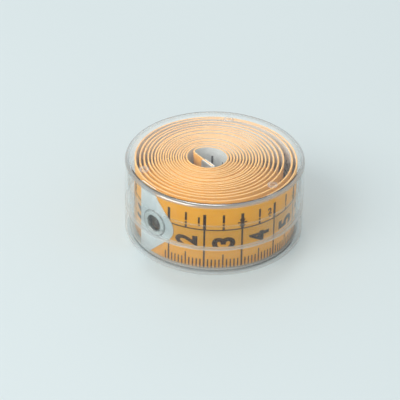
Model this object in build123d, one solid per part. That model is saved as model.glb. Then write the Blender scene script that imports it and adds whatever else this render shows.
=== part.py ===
"""Soft measuring tape, 1.5 m long, rolled up in a round clear case of two pieces.

Millimetres, +Z up. The origin is the centre of the case's underside. The tape's outer end,
with its metal clip and eyelet, lies at the front left (-Y is the front, +X the right).
Angles in plan are in degrees from +X, counter-clockwise seen from above.
"""
from build123d import *
import os
from math import cos, degrees, radians, sin

# --- Case: a base with a stepped wall, and a lid whose skirt rests on the step ---
CASE_RADIUS = 24.2
CASE_HEIGHT = 22.0
PLATE = 0.9                     # the base's floor and the lid's top
CHAMBER_RADIUS = 22.85          # inside of the base's wall, which holds the roll
LIP_RADIUS = 23.45              # outside of the base's inner lip
LID_CLEARANCE = 0.05            # sliding fit of the lid's skirt on the lip
SHOULDER_Z = 8.2                # the step, where the lid's skirt ends
LIP_TOP_Z = 15.2
RIM_ROUND = 1.0                 # outer edge of the lid's top
FOOT_ROUND = 0.7                # outer edge of the base's underside
CORNER_ROUND = 0.5              # inside corner of the lid
CHAMBER_ROUND = 0.2             # inside corner of the base
LIP_CHAMFER = 0.2
MARK_COUNT = 3                  # ejector pin marks under the lid's top
MARK_CIRCLE_RADIUS = 20.0
MARK_RADIUS = 1.1
MARK_DEPTH = 0.15
MARK_START = 80.0

# --- Tape: a ribbon wound inwards, with its printed orange face outside ---
TAPE_WIDTH = 19.5
TAPE_THICKNESS = 0.45
TAPE_BOTTOM_Z = PLATE
TAPE_MIDDLE_Z = TAPE_BOTTOM_Z + TAPE_WIDTH / 2
ROLL_RADIUS = 21.9              # outer face of the first full arc
ROLL_SHIFT = 0.2                # the roll leans to the right in its chamber
TIP_ANGLE = 210.6               # direction of the outer end, seen from the roll's centre
STIFF_LENGTH = 12.0             # first stretch, which the clip keeps flatter
STIFF_RADIUS = 26.0
QUARTERS = 75                   # quarter arcs from the front inwards
FIRST_TURN_DROPS = (-0.07, -0.47, 1.05, -0.06)   # radius lost at the front, right, back, left
SIDE_DROPS = (0.18, 0.155, 0.205, 0.225)         # the same for the inner turns
LOOSE_TURNS = 7                 # outer turns, which are wound more loosely
LOOSENESS = 0.92
WIDE_GAP_QUARTER = 7            # where the roll has slipped and left one wide gap
WIDE_GAP_DROP = 0.41
BEND_ANGLE = 128.0              # the inner end leaves the innermost turn here
BEND_RADIUS = 1.9
CHORD_HEADING = 307.5           # the inner end then crosses the hole in this direction
CHORD_LENGTH = 7.8

# --- Metal clips on both ends, and the eyelet through the outer one ---
CLIP_SHEET = 0.25
CLIP_FOLD = 0.3                 # how far a fold stands beyond the tape's end
CLIP_LENGTH = 11.5              # outer clip, from the tape's end to its nose
CLIP_TOP_CORNER = 4.8           # where the slanted edges start, from the tape's end
CLIP_BOTTOM_CORNER = 3.6
NOSE_RADIUS = 4.4
INNER_CLIP_LENGTH = 4.5
EYELET_FROM_END = 5.15
EYELET_HOLE_RADIUS = 2.15
EYELET_BARREL_RADIUS = 2.6
EYELET_FLANGE_RADIUS = 3.9
EYELET_REAR_RADIUS = 3.5
EYELET_PROUD = 0.35             # front flange
EYELET_REAR_PROUD = 0.2


def direction(angle):
    """Unit vector in plan."""
    return Vector(cos(radians(angle)), sin(radians(angle)))


# --- Case ---

def make_case_base():
    profile = Polyline(
        (0, 0), (CASE_RADIUS, 0), (CASE_RADIUS, SHOULDER_Z), (LIP_RADIUS, SHOULDER_Z),
        (LIP_RADIUS, LIP_TOP_Z), (CHAMBER_RADIUS, LIP_TOP_Z), (CHAMBER_RADIUS, PLATE), (0, PLATE),
        close=True,
    )
    section = make_face(profile)
    section = fillet(corner(section, CASE_RADIUS, 0), FOOT_ROUND)
    section = fillet(corner(section, CHAMBER_RADIUS, PLATE), CHAMBER_ROUND)
    section = chamfer(corner(section, LIP_RADIUS, LIP_TOP_Z), LIP_CHAMFER)
    return revolve(Plane.XZ * section, Axis.Z)


def make_case_lid():
    skirt = LIP_RADIUS + LID_CLEARANCE
    ceiling = CASE_HEIGHT - PLATE
    profile = Polyline(
        (0, ceiling), (skirt, ceiling), (skirt, SHOULDER_Z), (CASE_RADIUS, SHOULDER_Z),
        (CASE_RADIUS, CASE_HEIGHT), (0, CASE_HEIGHT), close=True,
    )
    section = make_face(profile)
    section = fillet(corner(section, CASE_RADIUS, CASE_HEIGHT), RIM_ROUND)
    section = fillet(corner(section, skirt, ceiling), CORNER_ROUND)
    lid = revolve(Plane.XZ * section, Axis.Z)
    for index in range(MARK_COUNT):
        centre = direction(MARK_START + index * 360 / MARK_COUNT) * MARK_CIRCLE_RADIUS
        lid -= Pos(centre.X, centre.Y, ceiling) * Cylinder(MARK_RADIUS, 2 * MARK_DEPTH)
    return lid


def corner(section, radius, height):
    """The vertex of a flat section nearest to a radius and a height."""
    return section.vertices().sort_by_distance((radius, height))[0]


# --- Tape ---

def side_drop(quarter):
    """How much smaller the next quarter arc is, at the end of this one.

    The first turn springs out towards the case's wall behind and on the left.
    """
    turn = quarter // 4
    if turn == 0:
        return FIRST_TURN_DROPS[quarter]
    loose = 1 + LOOSENESS * max(0, LOOSE_TURNS - turn) / LOOSE_TURNS
    drop = SIDE_DROPS[quarter % 4] * loose
    if quarter == WIDE_GAP_QUARTER:
        drop += WIDE_GAP_DROP
    return drop


def tape_arcs():
    """Arcs of the tape's outer face, as (centre, radius, start angle, end angle).

    Each arc is tangent to the one before it, because its centre lies on the line from the
    last centre to their common point.
    """
    radius = ROLL_RADIUS
    centre = Vector(ROLL_SHIFT, 0)
    angle = TIP_ANGLE + degrees(STIFF_LENGTH / ROLL_RADIUS)
    stiff_centre = centre - direction(angle) * (STIFF_RADIUS - radius)
    arcs = [(stiff_centre, STIFF_RADIUS, angle - degrees(STIFF_LENGTH / STIFF_RADIUS), angle)]
    for quarter in range(QUARTERS):
        end = 270 + 90 * quarter
        arcs.append((centre, radius, angle, end))
        drop = side_drop(quarter)
        centre += direction(end) * drop
        radius -= drop
        angle = end
    end = angle + (BEND_ANGLE - angle) % 360
    arcs.append((centre, radius, angle, end))
    centre += direction(end) * (radius - BEND_RADIUS)
    arcs.append((centre, BEND_RADIUS, end, end + (CHORD_HEADING - 90 - end) % 360))
    return arcs


def chord_ends(arcs):
    """Both ends of the straight inner stretch, on the tape's outer face."""
    centre, radius, _, angle = arcs[-1]
    start = centre + direction(angle) * radius
    return start, start + direction(CHORD_HEADING) * CHORD_LENGTH


def tape_length(arcs):
    """Length along the middle of the tape's thickness."""
    middle = TAPE_THICKNESS / 2
    return CHORD_LENGTH + sum(radians(end - start) * (radius - middle) for _, radius, start, end in arcs)


def make_ribbon(arcs):
    edges = []
    for centre, radius, start, end in arcs:
        for face_radius in (radius, radius - TAPE_THICKNESS):
            edges.append(CenterArc(centre, face_radius, start, end - start))
    chord_start, chord_end = chord_ends(arcs)
    inward = direction(CHORD_HEADING + 90) * TAPE_THICKNESS
    edges.append(Line(chord_start, chord_end))
    edges.append(Line(chord_start + inward, chord_end + inward))
    edges.append(Line(chord_end, chord_end + inward))
    centre, radius, start, _ = arcs[0]
    tip = centre + direction(start) * radius
    edges.append(Line(tip, tip - direction(start) * TAPE_THICKNESS))
    return Pos(0, 0, TAPE_BOTTOM_Z) * extrude(make_face(edges), TAPE_WIDTH)


# --- Outer end: clip and eyelet, placed on the stiff arc ---

def curved_plate(stiff_arc, inner_radius, outer_radius, start, end):
    """Upright plate of the tape's width that follows the stiff arc."""
    centre = stiff_arc[0]
    edges = [CenterArc(centre, radius, start, end - start) for radius in (inner_radius, outer_radius)]
    for angle in (start, end):
        edges.append(Line(centre + direction(angle) * inner_radius, centre + direction(angle) * outer_radius))
    return Pos(0, 0, TAPE_BOTTOM_Z) * extrude(make_face(edges), TAPE_WIDTH)


def eyelet_plane(stiff_arc):
    """Plane on the tape's outer face at the eyelet: x along the tape, y up, z outwards."""
    centre, radius, start, _ = stiff_arc
    outward = direction(start + degrees(EYELET_FROM_END / radius))
    origin = centre + outward * radius + Vector(0, 0, TAPE_MIDDLE_Z)
    return Plane(origin, x_dir=Vector(-outward.Y, outward.X), z_dir=outward)


def clip_outline():
    """Outline of the unrolled outer clip about the eyelet's centre: slanted edges, round nose."""
    half = TAPE_WIDTH / 2
    past_fold = -EYELET_FROM_END - 2 * CLIP_FOLD
    body = Polyline(
        (past_fold, -half), (CLIP_BOTTOM_CORNER - EYELET_FROM_END, -half),
        (CLIP_TOP_CORNER - EYELET_FROM_END, half), (past_fold, half), close=True,
    )
    nose_centre = CLIP_LENGTH - NOSE_RADIUS - EYELET_FROM_END
    nose = Pos(nose_centre, 0) * Edge.make_circle(NOSE_RADIUS)
    return make_hull(body.edges() + [nose])


def make_outer_clip(stiff_arc):
    _, radius, start, _ = stiff_arc
    inner = radius - TAPE_THICKNESS
    end = start + degrees((CLIP_LENGTH + 2 * CLIP_FOLD) / radius)
    fold = start - degrees(CLIP_FOLD / radius)
    wrap = curved_plate(stiff_arc, inner - CLIP_SHEET, radius + CLIP_SHEET, fold, end)
    slot = curved_plate(stiff_arc, inner, radius, start, end + 1)
    fold_edges = wrap.edges().filter_by(Axis.Z).sort_by_distance(
        stiff_arc[0] + direction(fold) * radius + Vector(0, 0, TAPE_MIDDLE_Z))[:2]
    wrap = fillet(fold_edges, CLIP_FOLD)
    blank = eyelet_plane(stiff_arc) * extrude(clip_outline(), STIFF_LENGTH / 2, both=True)
    return (wrap - slot) & blank


def ring(stiff_arc, outer_radius, inner_shell, outer_shell):
    """Washer about the eyelet's axis, bounded by two shells that follow the stiff arc."""
    centre = stiff_arc[0]
    plane = eyelet_plane(stiff_arc)
    washer = plane * (Cylinder(outer_radius, STIFF_LENGTH) - Cylinder(EYELET_HOLE_RADIUS, STIFF_LENGTH))
    place = Pos(centre.X, centre.Y, TAPE_MIDDLE_Z)
    shell = place * (Cylinder(outer_shell, TAPE_WIDTH) - Cylinder(inner_shell, TAPE_WIDTH))
    return washer & shell


def make_eyelet(stiff_arc):
    radius = stiff_arc[1]
    front = radius + CLIP_SHEET
    rear = radius - TAPE_THICKNESS - CLIP_SHEET
    eyelet = ring(stiff_arc, EYELET_BARREL_RADIUS, rear - EYELET_REAR_PROUD, front + EYELET_PROUD)
    eyelet += ring(stiff_arc, EYELET_FLANGE_RADIUS, front, front + EYELET_PROUD)
    eyelet += ring(stiff_arc, EYELET_REAR_RADIUS, rear - EYELET_REAR_PROUD, rear)
    return eyelet


def barrel_hole(stiff_arc):
    return eyelet_plane(stiff_arc) * Cylinder(EYELET_BARREL_RADIUS, STIFF_LENGTH / 2)


# --- Inner end ---

def make_inner_clip(arcs):
    """Plain strip of metal folded over the inner end."""
    _, tape_end = chord_ends(arcs)
    frame = Plane(tape_end + Vector(0, 0, TAPE_BOTTOM_Z), x_dir=direction(CHORD_HEADING), z_dir=(0, 0, 1))
    thick = TAPE_THICKNESS + 2 * CLIP_SHEET
    to_corner = (Align.MAX, Align.MIN, Align.MIN)
    wrap = Pos(CLIP_FOLD, -CLIP_SHEET, 0) * Box(INNER_CLIP_LENGTH + CLIP_FOLD, thick, TAPE_WIDTH, align=to_corner)
    wrap = fillet(wrap.edges().filter_by(Axis.Z).sort_by(Axis.X)[-2:], CLIP_FOLD)
    slot = Box(INNER_CLIP_LENGTH + 1, TAPE_THICKNESS, TAPE_WIDTH, align=to_corner)
    return frame * (wrap - slot)


def main():
    arcs = tape_arcs()
    stiff_arc = arcs[0]
    hole = barrel_hole(stiff_arc)
    nodes = {
        "case_base": make_case_base(),
        "case_lid": make_case_lid(),
        "tape": make_ribbon(arcs) - hole_through_first_turn(stiff_arc, hole),
        "outer_end_clip": make_outer_clip(stiff_arc) - hole,
        "outer_eyelet": make_eyelet(stiff_arc),
        "inner_end_clip": make_inner_clip(arcs),
    }
    print("tape length", round(tape_length(arcs), 1))
    os.makedirs("parts", exist_ok=True)
    for name, shape in nodes.items():
        export_step(shape, f"parts/{name}.step")


def hole_through_first_turn(stiff_arc, hole):
    """The eyelet's hole, cut short so that it leaves the next turn of tape whole."""
    _, radius, start, end = stiff_arc
    return hole & curved_plate(stiff_arc, radius - 2 * TAPE_THICKNESS, radius + 1, start, end)


main()
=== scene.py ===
import bisect
import math
import bmesh
import bpy
from mathutils import Matrix, Vector


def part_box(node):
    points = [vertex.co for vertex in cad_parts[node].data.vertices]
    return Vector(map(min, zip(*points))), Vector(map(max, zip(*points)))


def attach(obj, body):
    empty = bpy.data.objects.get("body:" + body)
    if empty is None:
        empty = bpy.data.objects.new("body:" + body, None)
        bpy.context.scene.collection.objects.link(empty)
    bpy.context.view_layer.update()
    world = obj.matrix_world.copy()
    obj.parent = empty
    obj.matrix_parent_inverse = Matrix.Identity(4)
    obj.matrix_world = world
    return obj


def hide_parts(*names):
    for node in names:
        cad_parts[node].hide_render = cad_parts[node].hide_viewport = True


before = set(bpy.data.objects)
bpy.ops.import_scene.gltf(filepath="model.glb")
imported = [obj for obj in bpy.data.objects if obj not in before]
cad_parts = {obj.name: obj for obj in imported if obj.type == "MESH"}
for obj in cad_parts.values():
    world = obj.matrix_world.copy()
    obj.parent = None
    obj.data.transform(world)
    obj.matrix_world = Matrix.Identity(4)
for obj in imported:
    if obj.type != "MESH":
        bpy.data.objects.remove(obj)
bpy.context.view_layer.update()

# A soft measuring tape rolled up in a clear round case. Lengths in this script are in
# millimetres until a mesh is made, and angles in plan are in degrees from +X.

MM = 0.001


def node_box(node):
    low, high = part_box(node)
    return low / MM, high / MM


BASE_LOW, BASE_HIGH = node_box("case_base")
LID_LOW, LID_HIGH = node_box("case_lid")
TAPE_LOW, TAPE_HIGH = node_box("tape")

# Case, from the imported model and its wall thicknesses
CASE_RADIUS = (BASE_HIGH.x - BASE_LOW.x) / 2
SHOULDER_Z = LID_LOW.z
LIP_TOP_Z = BASE_HIGH.z
CASE_HEIGHT = LID_HIGH.z
PLATE = TAPE_LOW.z
CHAMBER_RADIUS = 22.85
LIP_RADIUS = 23.45
LID_CLEARANCE = 0.05
RIM_ROUND = 1.0
FOOT_ROUND = 0.7
MARK_COUNT = 3
MARK_CIRCLE_RADIUS = 20.0
MARK_RADIUS = 1.1
MARK_START = 80.0
FACET_ALLOWANCE = 0.01          # keeps the smooth walls inside the CAD's faceted ones
CASE_SEGMENTS = 256

# Tape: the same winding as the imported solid
TAPE_WIDTH = TAPE_HIGH.z - TAPE_LOW.z
TAPE_THICKNESS = 0.45
ROLL_RADIUS = 21.9
ROLL_SHIFT = 0.2
TIP_ANGLE = 210.6
STIFF_LENGTH = 12.0
STIFF_RADIUS = 26.0
QUARTERS = 75
FIRST_TURN_DROPS = (-0.07, -0.47, 1.05, -0.06)
SIDE_DROPS = (0.18, 0.155, 0.205, 0.225)
LOOSE_TURNS = 7
LOOSENESS = 0.92
WIDE_GAP_QUARTER = 7
WIDE_GAP_DROP = 0.41
BEND_ANGLE = 128.0
BEND_RADIUS = 1.9
CHORD_HEADING = 307.5
CHORD_LENGTH = 7.8

# Clips and eyelet
CLIP_SHEET = 0.25
CLIP_LENGTH = 11.5
CLIP_TOP_CORNER = 4.8
CLIP_BOTTOM_CORNER = 3.6
NOSE_RADIUS = 4.4
INNER_CLIP_LENGTH = 4.5
EYELET_FROM_END = 5.15
EYELET_HOLE_RADIUS = 2.15
EYELET_BARREL_RADIUS = 2.6
EYELET_FLANGE_RADIUS = 3.9
EYELET_REAR_RADIUS = 3.5
EYELET_PROUD = 0.35
EYELET_REAR_PROUD = 0.2

# Print, measured down from the tape's top edge and along it from its end
STROKE_TOP = 2.75
RULE_DEPTH = 7.5
RULE_WIDTH = 0.36
TICK_LENGTH = 2.7
LONG_TICK_LENGTH = 4.3
TICK_WIDTH = 0.36
CM_STROKE_WIDTH = 0.8
HALF_STROKE_WIDTH = 0.6
CM_LINE_WIDTH = 0.5
NUMERAL_HEIGHT = 6.2
NUMERAL_WIDTH = 3.1
NUMERAL_GAP = 1.8
NUMERAL_CENTRE = 11.3
HALF_STROKE_DASHES = ((STROKE_TOP, 5.3), (5.6, 6.2), (6.5, RULE_DEPTH))
SMALL_NUMERAL_HEIGHT = 2.0
SMALL_NUMERAL_WIDTH = 1.3
SMALL_NUMERAL_BOTTOM = 5.7
DOT_SIZE = 0.5
SMALL_NUMERAL_GAP = 0.25
NARROW_ONE = 0.55
STAR_DEPTH = 5.6
STAR_SIZE = 2.5
STAR_ARM_WIDTH = 0.42
INK_STEP = 0.8                  # longer flat steps would sink into the curved tape
INK_BEDDED = -0.02
INK_PROUD = 0.012
PRINT_START = 9.0
PRINT_END = 1492.0


# Colours
# dull grey of painted shade on the lid's rim and lower edge
LID_EDGE_SHADE = (0.36, 0.39, 0.385, 1)
# near-white of painted highlight on the base's foot, shoulder and lip
BASE_EDGE_HIGHLIGHT = (0.95, 0.96, 0.96, 1)
ORANGE, DEEP_ORANGE = (0.97, 0.43, 0.03), (0.93, 0.38, 0.022)
PALE_GREY, GREY = (0.66, 0.68, 0.66), (0.58, 0.60, 0.59)
FRONT_INK, BACK_INK = (0.030, 0.010, 0.006), (0.012, 0.014, 0.016)
TIN, DULL_TIN = (0.95, 0.96, 0.95), (0.85, 0.87, 0.87)
LAMP = (1.0, 0.99, 0.97)


# --- The tape's line ---

def direction(angle):
    return Vector((math.cos(math.radians(angle)), math.sin(math.radians(angle))))


def side_drop(quarter):
    turn = quarter // 4
    if turn == 0:
        return FIRST_TURN_DROPS[quarter]
    loose = 1 + LOOSENESS * max(0, LOOSE_TURNS - turn) / LOOSE_TURNS
    drop = SIDE_DROPS[quarter % 4] * loose
    if quarter == WIDE_GAP_QUARTER:
        drop += WIDE_GAP_DROP
    return drop


def tape_arcs():
    """Tangent arcs of the tape's outer face: (centre, radius, start angle, end angle)."""
    radius = ROLL_RADIUS
    centre = Vector((ROLL_SHIFT, 0))
    angle = TIP_ANGLE + math.degrees(STIFF_LENGTH / ROLL_RADIUS)
    stiff_centre = centre - direction(angle) * (STIFF_RADIUS - radius)
    arcs = [(stiff_centre, STIFF_RADIUS, angle - math.degrees(STIFF_LENGTH / STIFF_RADIUS), angle)]
    for quarter in range(QUARTERS):
        end = 270 + 90 * quarter
        arcs.append((centre.copy(), radius, angle, end))
        drop = side_drop(quarter)
        centre += direction(end) * drop
        radius -= drop
        angle = end
    end = angle + (BEND_ANGLE - angle) % 360
    arcs.append((centre.copy(), radius, angle, end))
    centre += direction(end) * (radius - BEND_RADIUS)
    arcs.append((centre.copy(), BEND_RADIUS, end, end + (CHORD_HEADING - 90 - end) % 360))
    return arcs


class TapeLine:
    """Places a point given along, across and off the tape's outer face."""

    def __init__(self):
        self.arcs = tape_arcs()
        self.starts = [0.0]
        for _, radius, start, end in self.arcs:
            length = math.radians(end - start) * (radius - TAPE_THICKNESS / 2)
            self.starts.append(self.starts[-1] + length)
        centre, radius, _, end = self.arcs[-1]
        self.chord_start = centre + direction(end) * radius
        self.length = self.starts[-1] + CHORD_LENGTH

    def at(self, along):
        """Point in plan on the outer face, and the outward normal."""
        if along >= self.starts[-1]:
            past = along - self.starts[-1]
            return self.chord_start + direction(CHORD_HEADING) * past, direction(CHORD_HEADING - 90)
        index = max(0, bisect.bisect_right(self.starts, along) - 1)
        centre, radius, start, _ = self.arcs[index]
        turned = (along - self.starts[index]) / (radius - TAPE_THICKNESS / 2)
        outward = direction(start + math.degrees(turned))
        return centre + outward * radius, outward

    def place(self, along, depth, lift):
        """Point in space: depth below the top edge, lift off the outer face, in metres."""
        point, outward = self.at(along)
        point = point + outward * (lift + sway(along, self.length))
        return Vector((point.x, point.y, TAPE_HIGH.z - depth + rise(along, self.length))) * MM


def rise(along, length):
    """The turns don't lie quite level: how far the tape stands above the case's floor."""
    wave = math.sin(along / 23.0) + 0.7 * math.sin(along / 8.7 + 1.3) + 0.5 * math.sin(along / 61.0 + 0.4)
    return 0.07 * (wave + 1.2) * ease(along, length)


def sway(along, length):
    """Small unevenness of the winding, towards and away from the centre."""
    return 0.035 * math.sin(along / 13.7 + 0.8) * math.sin(along / 5.9) * ease(along, length)


def ease(along, length):
    """0 at the stiff ends and 1 along the rest."""
    start = min(1, max(0, (along - STIFF_LENGTH) / 20))
    end = min(1, max(0, (length - 25 - along) / 20))
    return start * end


line = TapeLine()


def place_behind_eyelet():
    """Place along the second turn that lies behind the eyelet."""
    centre, _ = line.at(EYELET_FROM_END)
    bearing = math.atan2(centre.y, centre.x)
    along = ROLL_RADIUS * 5
    while True:
        point, _ = line.at(along)
        turned = (math.atan2(point.y, point.x) - bearing) % (2 * math.pi)
        if turned < 0.05:
            return along
        along += 0.1


# --- Meshes ---

def add_object(name, mesh, materials, body):
    piece = bpy.data.objects.new(name, mesh)
    bpy.context.scene.collection.objects.link(piece)
    for material in materials:
        mesh.materials.append(material)
    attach(piece, body)
    return piece


def mesh_from(name, points, faces, smooth=True):
    mesh = bpy.data.meshes.new(name)
    mesh.from_pydata(points, [], faces)
    mesh.validate()
    if smooth:
        mesh.shade_smooth()
    mesh.update()
    return mesh


def arc_points(centre_x, centre_y, radius, start, end, count):
    """Points of an arc in a profile, ends included."""
    points = []
    for index in range(count + 1):
        angle = start + (end - start) * index / count
        points.append((centre_x + radius * math.cos(math.radians(angle)),
                       centre_y + radius * math.sin(math.radians(angle))))
    return points


def lathe(name, profile, segments):
    """Solid of revolution about Z; the profile runs from axis to axis as (radius, height)."""
    points = []
    rings = []
    for radius, height in profile:
        if radius < 1e-6:
            rings.append([len(points)])
            points.append((0, 0, height * MM))
            continue
        rings.append(list(range(len(points), len(points) + segments)))
        for index in range(segments):
            angle = 2 * math.pi * index / segments
            points.append((radius * math.cos(angle) * MM, radius * math.sin(angle) * MM, height * MM))
    faces = []
    for lower, upper in zip(rings, rings[1:]):
        for index in range(segments):
            following = (index + 1) % segments
            if len(lower) == 1:
                faces.append((lower[0], upper[following], upper[index]))
            elif len(upper) == 1:
                faces.append((lower[index], lower[following], upper[0]))
            else:
                faces.append((lower[index], lower[following], upper[following], upper[index]))
    return mesh_from(name, points, faces)


# --- Materials ---

class Shader:
    """A node tree built from its output backwards."""

    def __init__(self, name):
        self.material = bpy.data.materials.new(name)
        self.material.use_nodes = True
        self.tree = self.material.node_tree
        self.surface = self.tree.nodes["Principled BSDF"]

    def set(self, **values):
        for name, value in values.items():
            self.surface.inputs[name.replace("_", " ")].default_value = value

    def node(self, kind, inputs=None, **settings):
        made = self.tree.nodes.new(kind)
        for name, value in settings.items():
            setattr(made, name, value)
        for name, value in (inputs or {}).items():
            if isinstance(value, bpy.types.NodeSocket):
                self.tree.links.new(value, made.inputs[name])
            else:
                made.inputs[name].default_value = value
        return made

    def link(self, output, name):
        self.tree.links.new(output, self.surface.inputs[name])

    def position(self):
        return self.node("ShaderNodeTexCoord").outputs["Object"]

    def stretch(self, vector, scale):
        return self.node("ShaderNodeMapping", {"Vector": vector, "Scale": scale}).outputs["Vector"]

    def noise(self, scale, detail=3.0, vector=None, roughness=0.55):
        vector = vector or self.position()
        made = self.node("ShaderNodeTexNoise", {"Vector": vector, "Scale": scale, "Detail": detail,
                                                "Roughness": roughness})
        return made.outputs["Fac"]

    def ramp(self, value, stops):
        made = self.node("ShaderNodeValToRGB", {"Fac": value})
        elements = made.color_ramp.elements
        while len(elements) < len(stops):
            elements.new(0.5)
        for element, (place, color) in zip(elements, stops):
            element.position = place
            element.color = color if len(color) == 4 else (*color, 1)
        return made.outputs["Color"]

    def math(self, operation, first, second):
        return self.node("ShaderNodeMath", {0: first, 1: second}, operation=operation).outputs["Value"]

    def spread(self, value, low, high):
        made = self.node("ShaderNodeMapRange", {"Value": value, "To Min": low, "To Max": high})
        return made.outputs["Result"]

    def bump(self, height, strength, distance, normal=None):
        inputs = {"Height": height, "Strength": strength, "Distance": distance}
        if normal is not None:
            inputs["Normal"] = normal
        return self.node("ShaderNodeBump", inputs).outputs["Normal"]


def weave_height(shader):
    """Plain weave under the coating, from the tape's own lengthwise and crosswise coordinates."""
    coordinates = shader.node("ShaderNodeUVMap", uv_map="tape").outputs["UV"]
    parts = shader.node("ShaderNodeSeparateXYZ", {"Vector": coordinates})
    threads_per_mm = 2.2
    turn = 2 * math.pi * threads_per_mm
    along = shader.math("SINE", shader.math("MULTIPLY", parts.outputs["X"], turn), 0)
    across = shader.math("SINE", shader.math("MULTIPLY", parts.outputs["Y"], turn), 0)
    return shader.math("MULTIPLY", along, across), coordinates


def coated_face(name, color, dark, rough, shade_spot_at=None):
    """Vinyl coating over fibreglass: satin, with the weave just showing.

    The last argument is a place along the tape behind the eyelet's hole, where a brown spot of painted shade
    stands for the shade seen down the hole.
    """
    shader = Shader(name)
    weave, coordinates = weave_height(shader)
    stretched = shader.stretch(coordinates, (0.12, 0.5, 1))
    patches = shader.noise(1.6, 4.0, stretched)
    specks = shader.noise(2600, 2.0)
    tone = shader.math("ADD", shader.math("MULTIPLY", patches, 0.75), shader.math("MULTIPLY", specks, 0.25))
    tint = shader.ramp(tone, [(0.32, dark), (0.62, color)])
    if shade_spot_at is not None:
        # painted shade: a brown spot on the second turn, seen through the eyelet's hole
        spot = shader.node("ShaderNodeVectorMath", {0: coordinates, 1: (shade_spot_at, TAPE_WIDTH / 2, 0)},
                           operation="DISTANCE").outputs["Value"]
        outside, inside = 3.3, 2.2
        shade_brown = (0.13, 0.085, 0.06, 1)
        eyelet_shade = shader.node("ShaderNodeMapRange", {"Value": spot, "From Min": outside, "From Max": inside})
        tint = shader.node("ShaderNodeMix", {"Factor": eyelet_shade.outputs["Result"], 6: tint, 7: shade_brown},
                           data_type="RGBA").outputs[2]
    shader.link(tint, "Base Color")
    shader.link(shader.spread(patches, rough - 0.07, rough + 0.1), "Roughness")
    fine = shader.bump(weave, 0.25, 0.00006)
    shader.link(shader.bump(patches, 0.15, 0.00008, fine), "Normal")
    shader.set(IOR=1.5, Coat_Weight=0.12, Coat_Roughness=0.25)
    return shader.material


def cut_edge():
    """Slit edge of the tape: pale core with a little of the coat's orange smeared over it."""
    shader = Shader("tape_edge")
    coordinates = shader.node("ShaderNodeUVMap", uv_map="tape").outputs["UV"]
    stretched = shader.stretch(coordinates, (0.35, 9.0, 1))
    fibres = shader.noise(1.4, 5.0, stretched)
    stops = [(0.3, (0.92, 0.47, 0.10)), (0.5, (0.94, 0.54, 0.17)), (0.75, (0.95, 0.63, 0.29))]
    color = shader.ramp(fibres, stops)
    shader.link(color, "Base Color")
    shader.link(shader.bump(fibres, 0.4, 0.00008), "Normal")
    shader.set(Roughness=0.62)
    return shader.material


def ink(name, color):
    shader = Shader(name)
    wear = shader.noise(1500, 3.0)
    shader.link(shader.ramp(wear, [(0.3, color), (0.8, tuple(1.9 * c for c in color))]), "Base Color")
    shader.link(shader.spread(wear, 0.35, 0.6), "Roughness")
    shader.link(shader.bump(wear, 0.1, 0.00002), "Normal")
    return shader.material


def brushed_metal(name, color, dark, rough, stretch):
    """Sheet metal with fine parallel marks, faint stains and small dents."""
    shader = Shader(name)
    stretched = shader.stretch(shader.position(), stretch)
    marks = shader.noise(900, 4.0, stretched)
    stains = shader.noise(260, 4.0)
    shader.link(shader.ramp(stains, [(0.3, dark), (0.65, color)]), "Base Color")
    shader.link(shader.spread(shader.math("MULTIPLY", marks, stains), rough - 0.08, rough + 0.4), "Roughness")
    dents = shader.bump(stains, 0.3, 0.00012)
    shader.link(shader.bump(marks, 0.2, 0.00002, dents), "Normal")
    shader.set(Metallic=1.0)
    return shader.material


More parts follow.
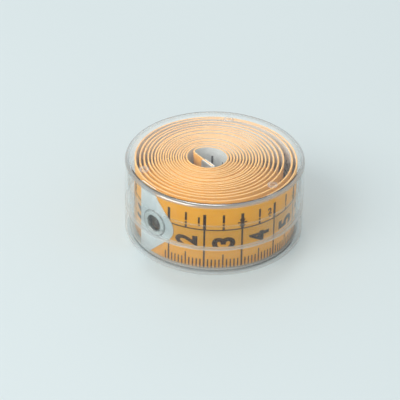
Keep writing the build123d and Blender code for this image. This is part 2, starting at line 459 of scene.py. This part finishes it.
def clear_plastic(name, rough, edge_paint_color, zones):
    """Moulded polystyrene: clear, lightly scuffed, letting light through to what it holds.

    zones makes three shares from a point's radius and height: how milky the plastic is there,
    how much of it is thin enough to be seen through unbent, and how much is an edge band of painted light:
    a dull colour that is painted shade on the lid and painted highlight on the base.
    """
    shader = Shader(name)
    scuffs = shader.noise(420, 6.0)
    smears = shader.noise(95, 3.0)
    shader.set(Base_Color=(0.985, 0.99, 0.99, 1), IOR=1.5, Transmission_Weight=1.0)
    worn = shader.math("POWER", scuffs, 3.0)
    shader.link(shader.spread(worn, rough, rough + 0.2), "Roughness")
    ripple = shader.bump(smears, 0.1, 0.0002)
    shader.link(shader.bump(scuffs, 0.05, 0.00004, ripple), "Normal")
    parts = shader.node("ShaderNodeSeparateXYZ", {"Vector": shader.position()})
    across = shader.node("ShaderNodeCombineXYZ", {"X": parts.outputs["X"], "Y": parts.outputs["Y"]})
    radius = shader.node("ShaderNodeVectorMath", {0: across.outputs["Vector"]}, operation="LENGTH")
    milky, thin, edge = zones(shader, radius.outputs["Value"], parts.outputs["Z"])
    milky = shader.math("MULTIPLY", milky, shader.spread(smears, 0.6, 1.4))
    white = (0.86, 0.89, 0.89, 1)
    veil = shader.node("ShaderNodeBsdfDiffuse", {"Color": white})
    glow = shader.node("ShaderNodeBsdfTranslucent", {"Color": white})
    milk = mix(shader, 0.5, veil.outputs["BSDF"], glow.outputs["BSDF"])
    body = mix(shader, milky, shader.surface.outputs["BSDF"], milk)
    unbent = shader.node("ShaderNodeBsdfTransparent", {"Color": (0.97, 0.98, 0.98, 1)}).outputs["BSDF"]
    # edge band of painted light: a dull colour standing for the shade or highlight seen along rims and seams
    painted_edge = mix(shader, 0.5, shader.node("ShaderNodeBsdfDiffuse", {"Color": edge_paint_color}).outputs["BSDF"],
                    shader.node("ShaderNodeBsdfTranslucent", {"Color": edge_paint_color}).outputs["BSDF"])
    facing = shader.node("ShaderNodeLayerWeight", {"Blend": 0.5}).outputs["Facing"]
    gloss = shader.node("ShaderNodeBsdfGlossy", {"Color": (1, 1, 1, 1), "Roughness": 0.1}).outputs["BSDF"]
    face_on, grazing, edge_gloss = 0.012, 0.5, 0.3
    mirrored = shader.spread(shader.math("POWER", facing, 4.0), face_on, grazing)
    mirrored = shader.math("ADD", mirrored, shader.math("MULTIPLY", edge, edge_gloss))
    body = mix(shader, thin, body, mix(shader, mirrored, mix(shader, edge, unbent, painted_edge), gloss))
    shadow = shader.node("ShaderNodeLightPath").outputs["Is Shadow Ray"]
    body = mix(shader, shadow, body, unbent)
    output = shader.tree.nodes["Material Output"]
    shader.tree.links.new(body, output.inputs["Surface"])
    return shader.material


def mix(shader, share, first, second):
    return shader.node("ShaderNodeMixShader", {0: share, 1: first, 2: second}).outputs["Shader"]


def fade(shader, value, start, end, low=0.0, high=1.0):
    """Low at the start and high at the end, both in millimetres."""
    made = shader.node("ShaderNodeMapRange", {"Value": value, "From Min": start * MM, "From Max": end * MM,
                                              "To Min": low, "To Max": high})
    return made.outputs["Result"]


def near(shader, height, level, reach):
    """1 at a level and 0 beyond its reach."""
    away = shader.math("ABSOLUTE", shader.math("SUBTRACT", height, level * MM), 0)
    return fade(shader, away, reach, reach * 0.7)


THIN = 0.97                      # share of a thin wall that doesn't bend what is behind it
EDGE_REACH = 0.2


def base_zones(shader, radius, height):
    """The base's wall is milky below the seam; its foot, shoulder and lip get bands of painted highlight, a
    near-white dull colour, and a little extra gloss.
    """
    milky = fade(shader, height, SHOULDER_Z + 0.1, SHOULDER_Z - 0.4, 0.003, 0.1)
    wall = fade(shader, radius, CHAMBER_RADIUS - 0.4, CHAMBER_RADIUS - 0.1)
    foot = fade(shader, height, 2.6, 0.6, 0.04, 0.55)
    foot = shader.math("MULTIPLY", foot, fade(shader, height, SHOULDER_Z + 0.1, SHOULDER_Z - 0.1))
    shoulder = shader.math("MULTIPLY", near(shader, height, SHOULDER_Z, EDGE_REACH), 0.55)
    lip = shader.math("MULTIPLY", near(shader, height, LIP_TOP_Z, EDGE_REACH), 0.14)
    bright = shader.math("MAXIMUM", foot, shader.math("MAXIMUM", shoulder, lip))
    return milky, shader.math("MULTIPLY", wall, THIN), shader.math("MULTIPLY", wall, bright)


def lid_zones(shader, radius, height):
    """The lid's skirt is thin; its rim and lower edge get a band of painted shade, a dull grey, and a little
    extra gloss; its pin marks are frosted.
    """
    skirt = fade(shader, radius, CASE_RADIUS - 1.4, CASE_RADIUS - 1.1)
    shoulder = shader.math("MULTIPLY", near(shader, height, SHOULDER_Z, EDGE_REACH), 0.2)
    rim = shader.math("MULTIPLY", fade(shader, radius, CASE_RADIUS - 1.1, CASE_RADIUS - 0.8),
                      fade(shader, height, CASE_HEIGHT - 1.0, CASE_HEIGHT - 0.5, 0.0, 0.7))
    marks = pin_marks(shader)
    return marks, shader.math("MULTIPLY", skirt, THIN), shader.math("MAXIMUM", rim, shoulder)


def pin_marks(shader):
    """Frosted rings left by the mould's three pins, in an otherwise clear top."""
    share = 0.004
    in_plan = (1, 1, 0)
    for index in range(MARK_COUNT):
        centre = direction(MARK_START + 360 / MARK_COUNT * index) * MARK_CIRCLE_RADIUS * MM
        flat = shader.node("ShaderNodeVectorMath", {0: shader.position(), 1: in_plan}, operation="MULTIPLY")
        away = shader.node("ShaderNodeVectorMath", {0: flat.outputs["Vector"], 1: (centre.x, centre.y, 0)},
                           operation="DISTANCE").outputs["Value"]
        ring = shader.math("MULTIPLY", near(shader, away, MARK_RADIUS, 0.3), 0.3)
        disc = fade(shader, away, MARK_RADIUS, MARK_RADIUS - 0.1, 0.0, 0.08)
        share = shader.math("ADD", shader.math("ADD", ring, disc), share)
    return share


def nickel_plate():
    """Bright plating with painted light ring by ring across the rolled profile: painted shade in the hole and
    at the rim, painted highlight on the crown.
    """
    shader = Shader("nickel")
    profile = shader.node("ShaderNodeUVMap", uv_map="profile").outputs["UV"]
    ring = shader.node("ShaderNodeSeparateXYZ", {"Vector": profile}).outputs["Y"]
    stains = shader.noise(700, 4.0)
    shade_and_stains = shader.math("ADD", ring, shader.math("MULTIPLY", shader.math("SUBTRACT", stains, 0.5), 0.04))
    # painted highlight and painted shade, ring by ring across the eyelet's profile, with a little stain noise
    bright, dark = (0.90, 0.89, 0.86), (0.20, 0.19, 0.18)
    stops = [(0.0, dark), (0.10, dark), (0.17, (0.55, 0.53, 0.5)), (0.26, bright), (0.36, bright),
             (0.43, (0.40, 0.39, 0.38)), (0.50, (0.28, 0.27, 0.26)), (0.57, dark)]
    shader.link(shader.ramp(shade_and_stains, stops), "Base Color")
    shader.link(shader.spread(stains, 0.08, 0.24), "Roughness")
    shader.link(shader.bump(stains, 0.12, 0.00004), "Normal")
    shader.set(Metallic=1.0)
    return shader.material


# --- Case ---

def make_case_base(material):
    """Cup with a shoulder; the lip above it is thinner."""
    inner = 0.2
    edge = 0.12
    wall = CASE_RADIUS - FACET_ALLOWANCE
    profile = [(0, 0)]
    profile += arc_points(wall - FOOT_ROUND, FOOT_ROUND, FOOT_ROUND, -90, 0, 8)
    profile += arc_points(wall - edge, SHOULDER_Z - edge, edge, 0, 90, 3)
    profile += arc_points(LIP_RADIUS + 0.08, SHOULDER_Z + 0.08, 0.08, 270, 180, 2)
    profile += arc_points(LIP_RADIUS - edge, LIP_TOP_Z - edge, edge, 0, 90, 3)
    profile += arc_points(CHAMBER_RADIUS + edge, LIP_TOP_Z - edge, edge, 90, 180, 3)
    profile += arc_points(CHAMBER_RADIUS - inner, PLATE + inner, inner, 0, -90, 4)
    profile.append((0, PLATE))
    mesh = lathe("clear_case_base", profile, CASE_SEGMENTS)
    piece = add_object("clear_case_base", mesh, [material], "case_base")
    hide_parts("case_base")


def make_case_lid(material):
    """Lid with a rounded rim, a skirt down to the shoulder and three pin marks under its top."""
    skirt = LIP_RADIUS + LID_CLEARANCE
    ceiling = CASE_HEIGHT - PLATE
    corner = 0.5
    edge = 0.1
    wall = CASE_RADIUS - FACET_ALLOWANCE
    profile = [(0, ceiling)]
    profile += arc_points(skirt - corner, ceiling - corner, corner, 90, 0, 6)
    profile += arc_points(skirt + edge, SHOULDER_Z + edge, edge, 180, 270, 3)
    profile += arc_points(wall - edge, SHOULDER_Z + edge, edge, 270, 360, 3)
    profile += arc_points(wall - RIM_ROUND, CASE_HEIGHT - RIM_ROUND, RIM_ROUND, 0, 90, 10)
    profile.append((0, CASE_HEIGHT))
    mesh = lathe("clear_case_lid", profile, CASE_SEGMENTS)
    piece = add_object("clear_case_lid", mesh, [material], "case_lid")
    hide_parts("case_lid")


# --- Ribbon ---

FRONT, BACK, EDGE = 0, 1, 2      # kinds of face, in the order of the ribbon's materials


def ribbon_section():
    """Cross-section as (lift, depth), anticlockwise seen along the tape, with its face kinds."""
    corner = 0.1
    thick = -TAPE_THICKNESS
    ring = []
    ring += [(0, corner), (0, TAPE_WIDTH - corner)]
    ring += [(-0.3 * corner, TAPE_WIDTH - 0.3 * corner), (-corner, TAPE_WIDTH)]
    ring += [(thick + corner, TAPE_WIDTH), (thick + 0.3 * corner, TAPE_WIDTH - 0.3 * corner)]
    ring += [(thick, TAPE_WIDTH - corner), (thick, corner)]
    ring += [(thick + 0.3 * corner, 0.3 * corner), (thick + corner, 0)]
    ring += [(-corner, 0), (-0.3 * corner, 0.3 * corner)]
    kinds = [FRONT] + [EDGE] * 5 + [BACK] + [EDGE] * 5
    return ring, kinds


def ribbon_stations():
    """Places along the tape, closer together where it bends more."""
    stations = []
    along = 0.0
    while along < line.length - 0.2:
        stations.append(along)
        index = min(bisect.bisect_right(line.starts, along) - 1, len(line.arcs) - 1)
        radius = line.arcs[index][1]
        along += max(0.25, 0.09 * math.sqrt(radius) + 0.012 * radius)
    stations.append(line.length)
    return stations


def make_ribbon(orange, reverse, edge):
    ring, kinds = ribbon_section()
    stations = ribbon_stations()
    size = len(ring)
    points = []
    for along in stations:
        for lift, depth in ring:
            points.append(line.place(along, depth, lift))
    faces = []
    face_kinds = []
    corners = []
    for row in range(len(stations) - 1):
        for column in range(size):
            following = (column + 1) % size
            here, there = row * size, (row + 1) * size
            faces.append((here + column, there + column, there + following, here + following))
            face_kinds.append(kinds[column])
            start, end = stations[row], stations[row + 1]
            low = ring[column][1] + ring[column][0]
            high = ring[following][1] + ring[following][0]
            corners += [(start, low), (end, low), (end, high), (start, high)]
    last = (len(stations) - 1) * size
    faces.append(tuple(range(size)))
    faces.append(tuple(last + column for column in reversed(range(size))))
    face_kinds += [EDGE, EDGE]
    corners += [(0, depth) for _, depth in ring]
    corners += [(line.length, depth) for _, depth in reversed(ring)]
    mesh = bpy.data.meshes.new("tape_ribbon")
    mesh.from_pydata(points, [], faces)
    layer = mesh.uv_layers.new(name="tape")
    layer.data.foreach_set("uv", [value for corner in corners for value in corner])
    mesh.polygons.foreach_set("material_index", face_kinds)
    mesh.shade_smooth()
    mesh.update()
    piece = add_object("tape_ribbon", mesh, [orange, reverse, edge], "tape_roll")
    cut_eyelet_hole(piece)
    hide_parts("tape")
    return piece


def eyelet_point(radius, angle, lift):
    """Point at a radius and angle about the eyelet's axis, off the tape's outer face."""
    along = EYELET_FROM_END + radius * math.cos(angle)
    depth = TAPE_WIDTH / 2 - radius * math.sin(angle)
    return line.place(along, depth, lift)


def cut_eyelet_hole(piece):
    """Takes the eyelet's barrel out of the tape's first turn."""
    segments = 48
    points = []
    for lift in (-1.6 * TAPE_THICKNESS, TAPE_THICKNESS):
        for index in range(segments):
            points.append(eyelet_point(EYELET_BARREL_RADIUS, 2 * math.pi * index / segments, lift))
    faces = [tuple(reversed(range(segments))), tuple(range(segments, 2 * segments))]
    for index in range(segments):
        following = (index + 1) % segments
        faces.append((index, following, segments + following, segments + index))
    cutter = bpy.data.objects.new("cutter", mesh_from("cutter", points, faces, smooth=False))
    bpy.context.scene.collection.objects.link(cutter)
    cut = piece.modifiers.new("eyelet_hole", "BOOLEAN")
    cut.object = cutter
    cut.operation = "DIFFERENCE"
    cut.solver = "EXACT"
    apply_modifiers(piece)
    bpy.data.objects.remove(cutter)


def apply_modifiers(piece):
    """Replaces the piece's mesh by the one its modifiers make."""
    bpy.context.view_layer.update()
    graph = bpy.context.evaluated_depsgraph_get()
    made = bpy.data.meshes.new_from_object(piece.evaluated_get(graph))
    piece.modifiers.clear()
    old = piece.data
    piece.data = made
    bpy.data.meshes.remove(old)


# --- Print ---

class Ink:
    """Flat shapes on one face of the tape, in the scale's own along and depth coordinates."""

    def __init__(self, from_inner_end):
        self.from_inner_end = from_inner_end
        self.points = []
        self.faces = []

    def add(self, points, faces):
        first = len(self.points)
        self.points += points
        self.faces += [tuple(first + corner for corner in face) for face in faces]

    def bar(self, along_low, along_high, depth_low, depth_high):
        """Upright-sided bar, cut into steps so that it follows the roll."""
        steps = max(1, math.ceil((along_high - along_low) / INK_STEP))
        points = []
        for index in range(steps + 1):
            along = along_low + (along_high - along_low) * index / steps
            points += [(along, depth_high), (along, depth_low)]
        faces = [(2 * i, 2 * i + 2, 2 * i + 3, 2 * i + 1) for i in range(steps)]
        self.add(points, faces)

    def place(self, along, depth, lift):
        if self.from_inner_end:
            return line.place(line.length - along, depth, -TAPE_THICKNESS - lift)
        return line.place(along, depth, lift)

    def mesh(self, name):
        """Closed film of ink, bedded in the coating."""
        count = len(self.points)
        points = [self.place(along, depth, INK_PROUD) for along, depth in self.points]
        points += [self.place(along, depth, INK_BEDDED) for along, depth in self.points]
        edges = {}
        for face in self.faces:
            for start, end in zip(face, face[1:] + face[:1]):
                edges[(start, end)] = True
        faces = list(self.faces)
        faces += [tuple(count + corner for corner in reversed(face)) for face in self.faces]
        for start, end in edges:
            if (end, start) not in edges:
                faces.append((end, start, count + start, count + end))
        return mesh_from(name, points, faces, smooth=False)


def glyph(character):
    """Outline of a digit as a filled mesh in a unit box, cut into strips from top to bottom."""
    text = bpy.data.curves.new("glyph", "FONT")
    text.body = character
    text.offset = 0.04
    text.resolution_u = 3
    source = bpy.data.objects.new("glyph", text)
    bpy.context.scene.collection.objects.link(source)
    bpy.context.view_layer.update()
    graph = bpy.context.evaluated_depsgraph_get()
    flat = bpy.data.meshes.new_from_object(source.evaluated_get(graph))
    work = bmesh.new()
    work.from_mesh(flat)
    bmesh.ops.remove_doubles(work, verts=work.verts, dist=1e-5)
    strips = 7
    low = min(vertex.co.y for vertex in work.verts)
    high = max(vertex.co.y for vertex in work.verts)
    for index in range(1, strips):
        cut = Vector((0, low + (high - low) * index / strips, 0))
        everything = work.verts[:] + work.edges[:] + work.faces[:]
        bmesh.ops.bisect_plane(work, geom=everything, plane_co=cut, plane_no=(0, 1, 0))
    left = min(vertex.co.x for vertex in work.verts)
    right = max(vertex.co.x for vertex in work.verts)
    work.verts.index_update()
    for face in work.faces:
        face.normal_update()
    wide = right - left if character != "1" else (right - left) * 1.35
    points = [((v.co.x - left) / wide, (v.co.y - low) / (high - low)) for v in work.verts]
    faces = [tuple(v.index for v in (f.verts if f.normal.z > 0 else reversed(f.verts))) for f in work.faces]
    work.free()
    bpy.data.objects.remove(source)
    bpy.data.meshes.remove(flat)
    return points, faces


def big_numeral(film, glyphs, centimetre):
    """Numeral lying on its side before its line, with its top towards the scale's zero."""
    digits = str(centimetre)
    squeeze = (1.0, 0.86, 0.66)[len(digits) - 1]
    widths = numeral_widths(digits, NUMERAL_WIDTH * squeeze)
    gap = 0.45 * squeeze
    depth = NUMERAL_CENTRE + (sum(widths) + gap * (len(digits) - 1)) / 2
    foot = 10 * centimetre - NUMERAL_GAP
    for digit, wide in zip(digits, widths):
        points, faces = glyphs[digit]
        film.add([(foot - NUMERAL_HEIGHT * y, depth - wide * x) for x, y in points], faces)
        depth -= wide + gap


def numeral_widths(digits, full):
    """Width of each digit: a 1 is narrower than the others."""
    return [full * (NARROW_ONE if digit == "1" else 1) for digit in digits]


def small_numeral(film, glyphs, centimetre):
    """Upright numeral of the half scale, to the left of its stroke, over a row of dots."""
    digits = str(centimetre // 2)
    widths = numeral_widths(digits, SMALL_NUMERAL_WIDTH)
    along = 10 * centimetre - CM_STROKE_WIDTH - sum(widths) - SMALL_NUMERAL_GAP * len(digits)
    for digit, wide in zip(digits, widths):
        points, faces = glyphs[digit]
        film.add([(along + wide * x, SMALL_NUMERAL_BOTTOM - SMALL_NUMERAL_HEIGHT * y)
                  for x, y in points], faces)
        middle = along + wide / 2
        film.bar(middle - DOT_SIZE / 2, middle + DOT_SIZE / 2, SMALL_NUMERAL_BOTTOM + DOT_SIZE / 2,
                 SMALL_NUMERAL_BOTTOM + DOT_SIZE * 1.5)
        along += wide + SMALL_NUMERAL_GAP


def star(film, centimetre):
    """Six-armed mark over the stroke of an odd centimetre."""
    pieces = 4
    for turn in (0, 60, 120):
        arm, side = direction(turn) * STAR_SIZE / 2, direction(turn + 90) * STAR_ARM_WIDTH / 2
        corners = []
        for index in range(pieces + 1):
            middle = arm * (2 * index / pieces - 1)
            corners += [middle - side, middle + side]
        faces = [(2 * i, 2 * i + 2, 2 * i + 3, 2 * i + 1) for i in range(pieces)]
        film.add([(10 * centimetre + c.x, STAR_DEPTH - c.y) for c in corners], faces)


def print_scale(film, glyphs):
    """Ticks, strokes, rule and numerals of one face."""
    first, last = math.ceil(PRINT_START), math.floor(PRINT_END)
    film.bar(PRINT_START, PRINT_END, RULE_DEPTH - RULE_WIDTH / 2, RULE_DEPTH + RULE_WIDTH / 2)
    for millimetre in range(first, last + 1):
        if millimetre % 10 == 0:
            half, thin = CM_STROKE_WIDTH / 2, CM_LINE_WIDTH / 2
            film.bar(millimetre - half, millimetre + half, STROKE_TOP, RULE_DEPTH)
            film.bar(millimetre - thin, millimetre + thin, RULE_DEPTH, TAPE_WIDTH - 0.1)
            continue
        half = TICK_WIDTH / 2
        length = TICK_LENGTH
        if millimetre % 5 == 0:
            length = LONG_TICK_LENGTH
            wide = HALF_STROKE_WIDTH / 2
            for top, bottom in HALF_STROKE_DASHES:
                film.bar(millimetre - wide, millimetre + wide, top, bottom)
        film.bar(millimetre - half, millimetre + half, TAPE_WIDTH - length, TAPE_WIDTH - 0.1)
    for centimetre in range(2, last // 10 + 1):
        big_numeral(film, glyphs, centimetre)
        if centimetre % 2:
            star(film, centimetre)
        else:
            small_numeral(film, glyphs, centimetre)


def make_print(front_ink, back_ink):
    glyphs = {character: glyph(character) for character in "0123456789"}
    prints = (("tape_print_front", False, front_ink), ("tape_print_back", True, back_ink))
    for name, from_inner_end, material in prints:
        film = Ink(from_inner_end)
        print_scale(film, glyphs)
        add_object(name, film.mesh(name), [material], "tape_roll")


# --- Metal ---

def clip_point(along, depth, lift, from_inner_end):
    """Point on a clip unrolled flat: negative along goes round the fold to the back.

    lift runs from 0 on the tape's face to the sheet's thickness on its outside.
    """
    half = TAPE_THICKNESS / 2
    fold_length = math.pi * (half + CLIP_SHEET / 2)
    if along >= 0:
        place, off = along, lift
    elif along < -fold_length:
        place, off = -(along + fold_length), -TAPE_THICKNESS - lift
    else:
        turn = -along / fold_length * math.pi
        place = -(half + lift) * math.sin(turn)
        off = -half + (half + lift) * math.cos(turn)
    if from_inner_end:
        place = line.length - place
    return line.place(place, depth, off)


def hull_arc(corner, centre, radius, side):
    """Angle at which a line from a corner touches a circle, on the side given by its sign."""
    to_corner = corner - centre
    reach = math.acos(radius / to_corner.length)
    return math.degrees(math.atan2(to_corner.y, to_corner.x) + side * reach)


def outer_clip_outline():
    """Half outline of the outer clip from its top corner round the nose, as (along, depth)."""
    middle = TAPE_WIDTH / 2
    centre = Vector((CLIP_LENGTH - NOSE_RADIUS, 0))
    top, bottom = Vector((CLIP_TOP_CORNER, -middle)), Vector((CLIP_BOTTOM_CORNER, middle))
    start = hull_arc(top, centre, NOSE_RADIUS, 1)
    end = hull_arc(bottom, centre, NOSE_RADIUS, -1)
    points = [(top.x, 0)]
    points += [(x, middle + y) for x, y in arc_points(centre.x, 0, NOSE_RADIUS, start, end, 20)]
    points.append((bottom.x, TAPE_WIDTH))
    return points


def inner_clip_outline():
    """Half outline of the inner clip: a strip with rounded corners."""
    corner = 0.8
    edge = INNER_CLIP_LENGTH - corner
    points = arc_points(edge, corner, corner, -90, 0, 4)
    points += arc_points(edge, TAPE_WIDTH - corner, corner, 0, 90, 4)
    return points


def make_clip(name, node, outline, hole_radius, from_inner_end, material):
    """Sheet bent over the tape's end: fills the outline and its mirror image, then bends it."""
    fold_length = math.pi * (TAPE_THICKNESS + CLIP_SHEET) / 2
    back = [(-fold_length - along, depth) for along, depth in reversed(outline)]
    work = bmesh.new()
    loops = [outline + back]
    if hole_radius:
        middle = TAPE_WIDTH / 2
        loops.append(arc_points(EYELET_FROM_END, middle, hole_radius, 0, 352.5, 47))
        loops.append(arc_points(-fold_length - EYELET_FROM_END, middle, hole_radius, 0, 352.5, 47))
    for loop in loops:
        corners = [work.verts.new((x, y, 0)) for x, y in loop]
        for start, end in zip(corners, corners[1:] + corners[:1]):
            work.edges.new((start, end))
    bmesh.ops.triangle_fill(work, edges=work.edges[:], use_beauty=True)
    reach = max(along for along, _ in outline)
    cuts = [-fold_length * index / 8 for index in range(9)]
    step = 0.9
    count = int(reach / step)
    cuts += [step * index for index in range(1, count + 1)]
    cuts += [-fold_length - step * index for index in range(1, count + 1)]
    for cut in cuts:
        everything = work.verts[:] + work.edges[:] + work.faces[:]
        bmesh.ops.bisect_plane(work, geom=everything, plane_co=(cut, 0, 0), plane_no=(1, 0, 0), dist=1e-5)
    work.verts.index_update()
    flat = [(vertex.co.x, vertex.co.y) for vertex in work.verts]
    faces = [tuple(vertex.index for vertex in face.verts) for face in work.faces]
    if work.faces[:][0].normal.z > 0:
        faces = [tuple(reversed(face)) for face in faces]
    work.free()
    inside = [clip_point(x, y, 0.01, from_inner_end) for x, y in flat]
    outside = [clip_point(x, y, CLIP_SHEET, from_inner_end) for x, y in flat]
    count = len(flat)
    edges = set()
    for face in faces:
        edges.update(zip(face, face[1:] + face[:1]))
    solid = [tuple(count + corner for corner in face) for face in faces]
    solid += [tuple(reversed(face)) for face in faces]
    for start, end in edges:
        if (end, start) not in edges:
            solid.append((start, end, count + end, count + start))
    mesh = mesh_from(name, inside + outside, solid, smooth=False)
    piece = add_object(name, mesh, [material], "tape_roll")
    fix_normals(piece.data)
    soften = piece.modifiers.new("soften", "BEVEL")
    soften.width = 0.1 * MM
    soften.segments = 2
    soften.angle_limit = math.radians(50)
    mesh.shade_smooth()
    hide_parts(node)
    return piece


def fix_normals(mesh):
    work = bmesh.new()
    work.from_mesh(mesh)
    bmesh.ops.recalc_face_normals(work, faces=work.faces[:])
    work.to_mesh(mesh)
    work.free()


def make_eyelet(material):
    """Rolled eyelet: a tube set over on both sides, the front one round and proud."""
    front = CLIP_SHEET
    rear = -TAPE_THICKNESS - CLIP_SHEET
    hole = EYELET_HOLE_RADIUS
    profile = [(hole, rear + 0.05), (hole, -0.2), (hole, front - 0.1)]
    crown = front + EYELET_PROUD
    rim = EYELET_FLANGE_RADIUS
    profile += [(hole + 0.05, front + 0.13), (hole + 0.2, front + 0.26)]
    profile += [(hole + 0.48, crown), (hole + 0.85, crown - 0.02)]
    profile += [(rim - 0.55, front + 0.22), (rim - 0.2, front + 0.13), (rim - 0.03, front + 0.07)]
    profile += [(rim, front + 0.02), (rim - 0.04, front), (EYELET_BARREL_RADIUS, front)]
    profile += [(EYELET_BARREL_RADIUS, rear), (EYELET_REAR_RADIUS, rear)]
    profile += [(EYELET_REAR_RADIUS, rear - 0.1), (EYELET_REAR_RADIUS - 0.15, rear - EYELET_REAR_PROUD)]
    profile += [(hole + 0.3, rear - EYELET_REAR_PROUD), (hole + 0.06, rear - 0.08)]
    segments = 72
    points = []
    for radius, lift in profile:
        for index in range(segments):
            points.append(eyelet_point(radius, 2 * math.pi * index / segments, lift))
    faces = []
    rings = len(profile)
    for ring in range(rings):
        for index in range(segments):
            following = (index + 1) % segments
            here, there = ring * segments, (ring + 1) % rings * segments
            faces.append((here + index, here + following, there + following, there + index))
    mesh = mesh_from("rolled_eyelet", points, faces)
    # ring index across the profile, which places the nickel's painted shade and painted highlight
    layer = mesh.uv_layers.new(name="profile")
    for loop in mesh.loops:
        ring, index = divmod(loop.vertex_index, segments)
        layer.data[loop.index].uv = (index / segments, ring / rings)
    piece = add_object("rolled_eyelet", mesh, [material], "tape_roll")
    fix_normals(piece.data)
    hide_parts("outer_eyelet")


# --- Setting: floor, lights and camera ---

def make_floor():
    shader = Shader("floor")
    tone = shader.noise(3.0, 2.0)
    shader.link(shader.ramp(tone, [(0.2, (0.66, 0.74, 0.75)), (0.8, (0.70, 0.78, 0.79))]), "Base Color")
    shader.set(Roughness=0.75)
    half = 3.0
    corners = [(-half, -half, 0), (half, -half, 0), (half, half, 0), (-half, half, 0)]
    floor = bpy.data.objects.new("floor", mesh_from("floor", corners, [(0, 1, 2, 3)], smooth=False))
    floor.data.materials.append(shader.material)
    bpy.context.scene.collection.objects.link(floor)


def make_card():
    """Bright wall behind, which the back half of the lid reflects; it fades out upwards."""
    distance, half_width, low, fade_low, fade_high = 1.0, 0.5, 0.25, 0.60, 0.67
    material = bpy.data.materials.new("card")
    material.use_nodes = True
    tree = material.node_tree
    tree.nodes.clear()
    place = tree.nodes.new("ShaderNodeTexCoord")
    parts = tree.nodes.new("ShaderNodeSeparateXYZ")
    height = tree.nodes.new("ShaderNodeMapRange")
    height.interpolation_type = "SMOOTHSTEP"
    height.inputs["From Min"].default_value = fade_high
    height.inputs["From Max"].default_value = fade_low
    height.inputs["To Max"].default_value = 0.55
    emission = tree.nodes.new("ShaderNodeEmission")
    emission.inputs["Color"].default_value = (0.96, 0.98, 1.0, 1)
    through = tree.nodes.new("ShaderNodeBsdfTransparent")
    both = tree.nodes.new("ShaderNodeAddShader")
    output = tree.nodes.new("ShaderNodeOutputMaterial")
    tree.links.new(place.outputs["Object"], parts.inputs["Vector"])
    tree.links.new(parts.outputs["Z"], height.inputs["Value"])
    tree.links.new(height.outputs["Result"], emission.inputs["Strength"])
    tree.links.new(emission.outputs["Emission"], both.inputs[0])
    tree.links.new(through.outputs["BSDF"], both.inputs[1])
    tree.links.new(both.outputs["Shader"], output.inputs["Surface"])
    corners = [(-half_width, distance, low), (half_width, distance, low),
               (half_width, distance, fade_high), (-half_width, distance, fade_high)]
    card = bpy.data.objects.new("card", mesh_from("card", corners, [(0, 1, 2, 3)], smooth=False))
    card.data.materials.append(material)
    bpy.context.scene.collection.objects.link(card)


def make_light(name, place, size, power, color):
    data = bpy.data.lights.new(name, "AREA")
    data.shape = "RECTANGLE"
    data.size, data.size_y = size
    data.energy = power
    data.color = color
    lamp = bpy.data.objects.new(name, data)
    lamp.location = place
    aim = Vector((0, 0, CASE_HEIGHT / 2 * MM)) - Vector(place)
    lamp.rotation_euler = aim.to_track_quat("-Z", "Y").to_euler()
    bpy.context.scene.collection.objects.link(lamp)


def make_world():
    world = bpy.data.worlds.new("studio")
    world.use_nodes = True
    background = world.node_tree.nodes["Background"]
    background.inputs["Color"].default_value = (0.95, 0.98, 1.0, 1)
    background.inputs["Strength"].default_value = 0.67
    bpy.context.scene.world = world


def make_camera():
    """Camera in front and above, aimed a little to the left of and below the object."""
    elevation, distance = math.radians(33.2), 0.5957
    pan, tilt, roll = math.radians(0.37), math.radians(-0.234), math.radians(1.44)
    data = bpy.data.cameras.new("camera")
    data.sensor_width = 36.0
    data.lens = 198.0
    data.clip_start = 0.01
    camera = bpy.data.objects.new("camera", data)
    back = Vector((0, -math.cos(elevation), math.sin(elevation)))
    target = Vector((0, 0, CASE_HEIGHT / 2 * MM))
    place = Matrix.Translation(target + back * distance)
    look = Matrix.Rotation(math.pi / 2 - elevation, 4, "X")
    turn = Matrix.Rotation(roll, 4, "Z") @ Matrix.Rotation(pan, 4, "Y") @ Matrix.Rotation(tilt, 4, "X")
    camera.matrix_world = place @ look @ turn
    bpy.context.scene.collection.objects.link(camera)
    bpy.context.scene.camera = camera


def main():
    lid_plastic = clear_plastic("polystyrene_lid", 0.02, LID_EDGE_SHADE, lid_zones)
    base_plastic = clear_plastic("polystyrene_base", 0.03, BASE_EDGE_HIGHLIGHT, base_zones)
    make_case_base(base_plastic)
    make_case_lid(lid_plastic)
    # the orange face gets a brown spot of painted shade behind the eyelet's hole
    orange = coated_face("tape_orange", ORANGE, DEEP_ORANGE, 0.42, place_behind_eyelet())
    reverse = coated_face("tape_reverse", PALE_GREY, GREY, 0.5)
    make_ribbon(orange, reverse, cut_edge())
    make_print(ink("ink_front", FRONT_INK), ink("ink_back", BACK_INK))
    tin = brushed_metal("tinned_sheet", TIN, DULL_TIN, 0.42, (1, 1, 14))
    make_clip("folded_clip", "outer_end_clip", outer_clip_outline(), EYELET_BARREL_RADIUS, False, tin)
    make_clip("folded_inner_clip", "inner_end_clip", inner_clip_outline(), 0, True, tin)
    make_eyelet(nickel_plate())
    make_floor()
    make_card()
    make_world()
    make_light("window", (-0.60, -0.45, 0.62), (0.7, 0.5), 4.1, LAMP)
    make_light("overhead", (-0.05, 0.36, 0.76), (0.2, 0.24), 1.0, LAMP)
    make_camera()
    scene = bpy.context.scene
    scene.view_settings.view_transform = "Standard"


main()
